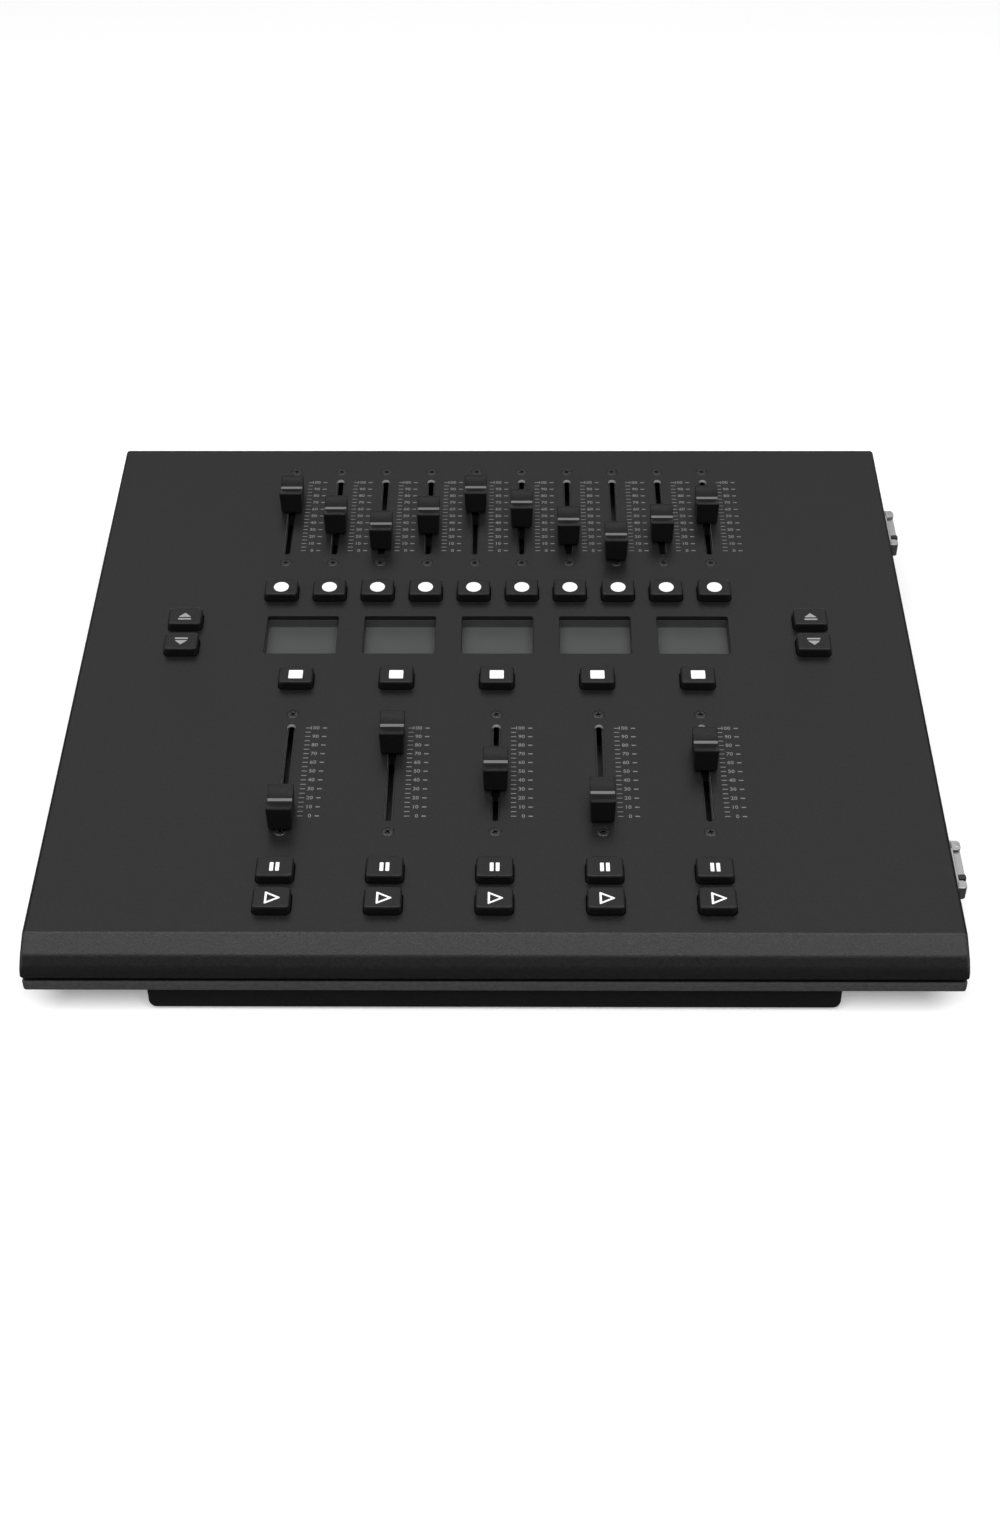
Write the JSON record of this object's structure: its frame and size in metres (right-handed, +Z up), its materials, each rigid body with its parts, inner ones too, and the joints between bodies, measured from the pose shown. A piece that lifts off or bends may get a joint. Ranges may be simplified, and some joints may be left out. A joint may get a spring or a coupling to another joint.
{
  "type": "lighting control desk",
  "caption": "Desktop lighting control desk: sloping black panel with two rows of sliding faders, sprung legend keys, recessed displays, shallow tray, set-back base and side latches.",
  "frame": {"origin": "on the surface that the feet stand on, under the middle of the case", "axes": "+X to the operator's right, +Y away from the operator, +Z up"},
  "size_m": [0.425, 0.377, 0.0831],
  "materials": {
    "cover_paint": "satin fine-textured black powder coat",
    "tray_paint": "satin fine-textured black powder coat",
    "base_shell": "moulded black plastic, fine grain",
    "connector_plate": "matt black paint",
    "connector_metal": "bright plated shells",
    "connector_insert": "moulded black plastic",
    "bright_steel": "zinc plated",
    "black_screw": "black oxide",
    "clear_window": "clear acrylic",
    "display_glass": "grey display face",
    "board_resin": "green solder mask",
    "switch_body": "moulded grey plastic",
    "latch_metal": "satin zinc",
    "foot_rubber": "matt black rubber",
    "cap_plastic": "moulded black plastic",
    "cap_line": "white inlay",
    "key_plastic": "dark grey moulded plastic",
    "legend_white": "white translucent inlay",
    "scale_ink": "grey screen print"
  },
  "bodies": {
    "case": {"top_cover": "cover_paint", "bottom_tray": "tray_paint", "base_housing": "base_shell", "connector_panel": "connector_plate", "rear_connectors": "connector_metal", "fader_frames": "bright_steel", "panel_screws": "black_screw", "case_screws": "black_screw", "display_windows": "clear_window", "display_modules": "display_glass", "circuit_boards": "board_resin", "key_switches": "switch_body", "latch_brackets": "latch_metal", "rubber_feet": "foot_rubber"},
    "upper_fader_1": {"upper_fader_1": "cap_plastic"},
    "upper_fader_2": {"upper_fader_2": "cap_plastic"},
    "upper_fader_3": {"upper_fader_3": "cap_plastic"},
    "upper_fader_4": {"upper_fader_4": "cap_plastic"},
    "upper_fader_5": {"upper_fader_5": "cap_plastic"},
    "upper_fader_6": {"upper_fader_6": "cap_plastic"},
    "upper_fader_7": {"upper_fader_7": "cap_plastic"},
    "upper_fader_8": {"upper_fader_8": "cap_plastic"},
    "upper_fader_9": {"upper_fader_9": "cap_plastic"},
    "upper_fader_10": {"upper_fader_10": "cap_plastic"},
    "lower_fader_1": {"lower_fader_1": "cap_plastic"},
    "lower_fader_2": {"lower_fader_2": "cap_plastic"},
    "lower_fader_3": {"lower_fader_3": "cap_plastic"},
    "lower_fader_4": {"lower_fader_4": "cap_plastic"},
    "lower_fader_5": {"lower_fader_5": "cap_plastic"},
    "flash_key_1": {"flash_key_1": "key_plastic"},
    "flash_key_2": {"flash_key_2": "key_plastic"},
    "flash_key_3": {"flash_key_3": "key_plastic"},
    "flash_key_4": {"flash_key_4": "key_plastic"},
    "flash_key_5": {"flash_key_5": "key_plastic"},
    "flash_key_6": {"flash_key_6": "key_plastic"},
    "flash_key_7": {"flash_key_7": "key_plastic"},
    "flash_key_8": {"flash_key_8": "key_plastic"},
    "flash_key_9": {"flash_key_9": "key_plastic"},
    "flash_key_10": {"flash_key_10": "key_plastic"},
    "select_key_1": {"select_key_1": "key_plastic"},
    "select_key_2": {"select_key_2": "key_plastic"},
    "select_key_3": {"select_key_3": "key_plastic"},
    "select_key_4": {"select_key_4": "key_plastic"},
    "select_key_5": {"select_key_5": "key_plastic"},
    "pause_key_1": {"pause_key_1": "key_plastic"},
    "pause_key_2": {"pause_key_2": "key_plastic"},
    "pause_key_3": {"pause_key_3": "key_plastic"},
    "pause_key_4": {"pause_key_4": "key_plastic"},
    "pause_key_5": {"pause_key_5": "key_plastic"},
    "play_key_1": {"play_key_1": "key_plastic"},
    "play_key_2": {"play_key_2": "key_plastic"},
    "play_key_3": {"play_key_3": "key_plastic"},
    "play_key_4": {"play_key_4": "key_plastic"},
    "play_key_5": {"play_key_5": "key_plastic"},
    "page_up_key_left": {"page_up_key_left": "key_plastic"},
    "page_down_key_left": {"page_down_key_left": "key_plastic"},
    "page_up_key_right": {"page_up_key_right": "key_plastic"},
    "page_down_key_right": {"page_down_key_right": "key_plastic"},
    "front_latch_lever": {"front_latch_lever": "latch_metal"},
    "rear_latch_lever": {"rear_latch_lever": "latch_metal"}
  },
  "joints": [
    {"name": "upper_fader_1_slide", "type": "slide", "parent": "case", "child": "upper_fader_1", "axis": [0, 0.9962, 0.0872], "range_m": [-0.041, 0.019]},
    {"name": "upper_fader_2_slide", "type": "slide", "parent": "case", "child": "upper_fader_2", "axis": [0, 0.9962, 0.0872], "range_m": [-0.023, 0.037]},
    {"name": "upper_fader_3_slide", "type": "slide", "parent": "case", "child": "upper_fader_3", "axis": [0, 0.9962, 0.0872], "range_m": [-0.0095, 0.0505]},
    {"name": "upper_fader_4_slide", "type": "slide", "parent": "case", "child": "upper_fader_4", "axis": [0, 0.9962, 0.0872], "range_m": [-0.0225, 0.0375]},
    {"name": "upper_fader_5_slide", "type": "slide", "parent": "case", "child": "upper_fader_5", "axis": [0, 0.9962, 0.0872], "range_m": [-0.0415, 0.0185]},
    {"name": "upper_fader_6_slide", "type": "slide", "parent": "case", "child": "upper_fader_6", "axis": [0, 0.9962, 0.0872], "range_m": [-0.0285, 0.0315]},
    {"name": "upper_fader_7_slide", "type": "slide", "parent": "case", "child": "upper_fader_7", "axis": [0, 0.9962, 0.0872], "range_m": [-0.0135, 0.0465]},
    {"name": "upper_fader_8_slide", "type": "slide", "parent": "case", "child": "upper_fader_8", "axis": [0, 0.9962, 0.0872], "range_m": [-0.0005, 0.0595]},
    {"name": "upper_fader_9_slide", "type": "slide", "parent": "case", "child": "upper_fader_9", "axis": [0, 0.9962, 0.0872], "range_m": [-0.0155, 0.0445]},
    {"name": "upper_fader_10_slide", "type": "slide", "parent": "case", "child": "upper_fader_10", "axis": [0, 0.9962, 0.0872], "range_m": [-0.032, 0.028]},
    {"name": "lower_fader_1_slide", "type": "slide", "parent": "case", "child": "lower_fader_1", "axis": [0, 0.9962, 0.0872], "range_m": [0, 0.06]},
    {"name": "lower_fader_2_slide", "type": "slide", "parent": "case", "child": "lower_fader_2", "axis": [0, 0.9962, 0.0872], "range_m": [-0.0505, 0.0095]},
    {"name": "lower_fader_3_slide", "type": "slide", "parent": "case", "child": "lower_fader_3", "axis": [0, 0.9962, 0.0872], "range_m": [-0.0255, 0.0345]},
    {"name": "lower_fader_4_slide", "type": "slide", "parent": "case", "child": "lower_fader_4", "axis": [0, 0.9962, 0.0872], "range_m": [-0.005, 0.055]},
    {"name": "lower_fader_5_slide", "type": "slide", "parent": "case", "child": "lower_fader_5", "axis": [0, 0.9962, 0.0872], "range_m": [-0.039, 0.021]},
    {"name": "flash_key_1_press", "type": "slide", "parent": "case", "child": "flash_key_1", "axis": [0, -0.0872, 0.9962], "range_m": [-0.0015, 0], "stiffness_N_per_m": 600, "springref_m": 0.0006},
    {"name": "flash_key_2_press", "type": "slide", "parent": "case", "child": "flash_key_2", "axis": [0, -0.0872, 0.9962], "range_m": [-0.0015, 0], "stiffness_N_per_m": 600, "springref_m": 0.0006},
    {"name": "flash_key_3_press", "type": "slide", "parent": "case", "child": "flash_key_3", "axis": [0, -0.0872, 0.9962], "range_m": [-0.0015, 0], "stiffness_N_per_m": 600, "springref_m": 0.0006},
    {"name": "flash_key_4_press", "type": "slide", "parent": "case", "child": "flash_key_4", "axis": [0, -0.0872, 0.9962], "range_m": [-0.0015, 0], "stiffness_N_per_m": 600, "springref_m": 0.0006},
    {"name": "flash_key_5_press", "type": "slide", "parent": "case", "child": "flash_key_5", "axis": [0, -0.0872, 0.9962], "range_m": [-0.0015, 0], "stiffness_N_per_m": 600, "springref_m": 0.0006},
    {"name": "flash_key_6_press", "type": "slide", "parent": "case", "child": "flash_key_6", "axis": [0, -0.0872, 0.9962], "range_m": [-0.0015, 0], "stiffness_N_per_m": 600, "springref_m": 0.0006},
    {"name": "flash_key_7_press", "type": "slide", "parent": "case", "child": "flash_key_7", "axis": [0, -0.0872, 0.9962], "range_m": [-0.0015, 0], "stiffness_N_per_m": 600, "springref_m": 0.0006},
    {"name": "flash_key_8_press", "type": "slide", "parent": "case", "child": "flash_key_8", "axis": [0, -0.0872, 0.9962], "range_m": [-0.0015, 0], "stiffness_N_per_m": 600, "springref_m": 0.0006},
    {"name": "flash_key_9_press", "type": "slide", "parent": "case", "child": "flash_key_9", "axis": [0, -0.0872, 0.9962], "range_m": [-0.0015, 0], "stiffness_N_per_m": 600, "springref_m": 0.0006},
    {"name": "flash_key_10_press", "type": "slide", "parent": "case", "child": "flash_key_10", "axis": [0, -0.0872, 0.9962], "range_m": [-0.0015, 0], "stiffness_N_per_m": 600, "springref_m": 0.0006},
    {"name": "select_key_1_press", "type": "slide", "parent": "case", "child": "select_key_1", "axis": [0, -0.0872, 0.9962], "range_m": [-0.0015, 0], "stiffness_N_per_m": 600, "springref_m": 0.0006},
    {"name": "select_key_2_press", "type": "slide", "parent": "case", "child": "select_key_2", "axis": [0, -0.0872, 0.9962], "range_m": [-0.0015, 0], "stiffness_N_per_m": 600, "springref_m": 0.0006},
    {"name": "select_key_3_press", "type": "slide", "parent": "case", "child": "select_key_3", "axis": [0, -0.0872, 0.9962], "range_m": [-0.0015, 0], "stiffness_N_per_m": 600, "springref_m": 0.0006},
    {"name": "select_key_4_press", "type": "slide", "parent": "case", "child": "select_key_4", "axis": [0, -0.0872, 0.9962], "range_m": [-0.0015, 0], "stiffness_N_per_m": 600, "springref_m": 0.0006},
    {"name": "select_key_5_press", "type": "slide", "parent": "case", "child": "select_key_5", "axis": [0, -0.0872, 0.9962], "range_m": [-0.0015, 0], "stiffness_N_per_m": 600, "springref_m": 0.0006},
    {"name": "pause_key_1_press", "type": "slide", "parent": "case", "child": "pause_key_1", "axis": [0, -0.0872, 0.9962], "range_m": [-0.0015, 0], "stiffness_N_per_m": 600, "springref_m": 0.0006},
    {"name": "pause_key_2_press", "type": "slide", "parent": "case", "child": "pause_key_2", "axis": [0, -0.0872, 0.9962], "range_m": [-0.0015, 0], "stiffness_N_per_m": 600, "springref_m": 0.0006},
    {"name": "pause_key_3_press", "type": "slide", "parent": "case", "child": "pause_key_3", "axis": [0, -0.0872, 0.9962], "range_m": [-0.0015, 0], "stiffness_N_per_m": 600, "springref_m": 0.0006},
    {"name": "pause_key_4_press", "type": "slide", "parent": "case", "child": "pause_key_4", "axis": [0, -0.0872, 0.9962], "range_m": [-0.0015, 0], "stiffness_N_per_m": 600, "springref_m": 0.0006},
    {"name": "pause_key_5_press", "type": "slide", "parent": "case", "child": "pause_key_5", "axis": [0, -0.0872, 0.9962], "range_m": [-0.0015, 0], "stiffness_N_per_m": 600, "springref_m": 0.0006},
    {"name": "play_key_1_press", "type": "slide", "parent": "case", "child": "play_key_1", "axis": [0, -0.0872, 0.9962], "range_m": [-0.0015, 0], "stiffness_N_per_m": 600, "springref_m": 0.0006},
    {"name": "play_key_2_press", "type": "slide", "parent": "case", "child": "play_key_2", "axis": [0, -0.0872, 0.9962], "range_m": [-0.0015, 0], "stiffness_N_per_m": 600, "springref_m": 0.0006},
    {"name": "play_key_3_press", "type": "slide", "parent": "case", "child": "play_key_3", "axis": [0, -0.0872, 0.9962], "range_m": [-0.0015, 0], "stiffness_N_per_m": 600, "springref_m": 0.0006},
    {"name": "play_key_4_press", "type": "slide", "parent": "case", "child": "play_key_4", "axis": [0, -0.0872, 0.9962], "range_m": [-0.0015, 0], "stiffness_N_per_m": 600, "springref_m": 0.0006},
    {"name": "play_key_5_press", "type": "slide", "parent": "case", "child": "play_key_5", "axis": [0, -0.0872, 0.9962], "range_m": [-0.0015, 0], "stiffness_N_per_m": 600, "springref_m": 0.0006},
    {"name": "page_up_key_left_press", "type": "slide", "parent": "case", "child": "page_up_key_left", "axis": [0, -0.0872, 0.9962], "range_m": [-0.0015, 0], "stiffness_N_per_m": 600, "springref_m": 0.0006},
    {"name": "page_down_key_left_press", "type": "slide", "parent": "case", "child": "page_down_key_left", "axis": [0, -0.0872, 0.9962], "range_m": [-0.0015, 0], "stiffness_N_per_m": 600, "springref_m": 0.0006},
    {"name": "page_up_key_right_press", "type": "slide", "parent": "case", "child": "page_up_key_right", "axis": [0, -0.0872, 0.9962], "range_m": [-0.0015, 0], "stiffness_N_per_m": 600, "springref_m": 0.0006},
    {"name": "page_down_key_right_press", "type": "slide", "parent": "case", "child": "page_down_key_right", "axis": [0, -0.0872, 0.9962], "range_m": [-0.0015, 0], "stiffness_N_per_m": 600, "springref_m": 0.0006},
    {"name": "front_latch_hinge", "type": "hinge", "parent": "case", "child": "front_latch_lever", "pos_m": [0.2131, -0.1157, 0.04061], "axis": [0, -0.0872, 0.9962], "range_deg": [0, 80], "stiffness_Nm_per_rad": 0.01, "springref_deg": -17.19},
    {"name": "rear_latch_hinge", "type": "hinge", "parent": "case", "child": "rear_latch_lever", "pos_m": [0.2131, 0.13235, 0.06231], "axis": [0, -0.0872, 0.9962], "range_deg": [0, 80], "stiffness_Nm_per_rad": 0.01, "springref_deg": -17.19}
  ]
}
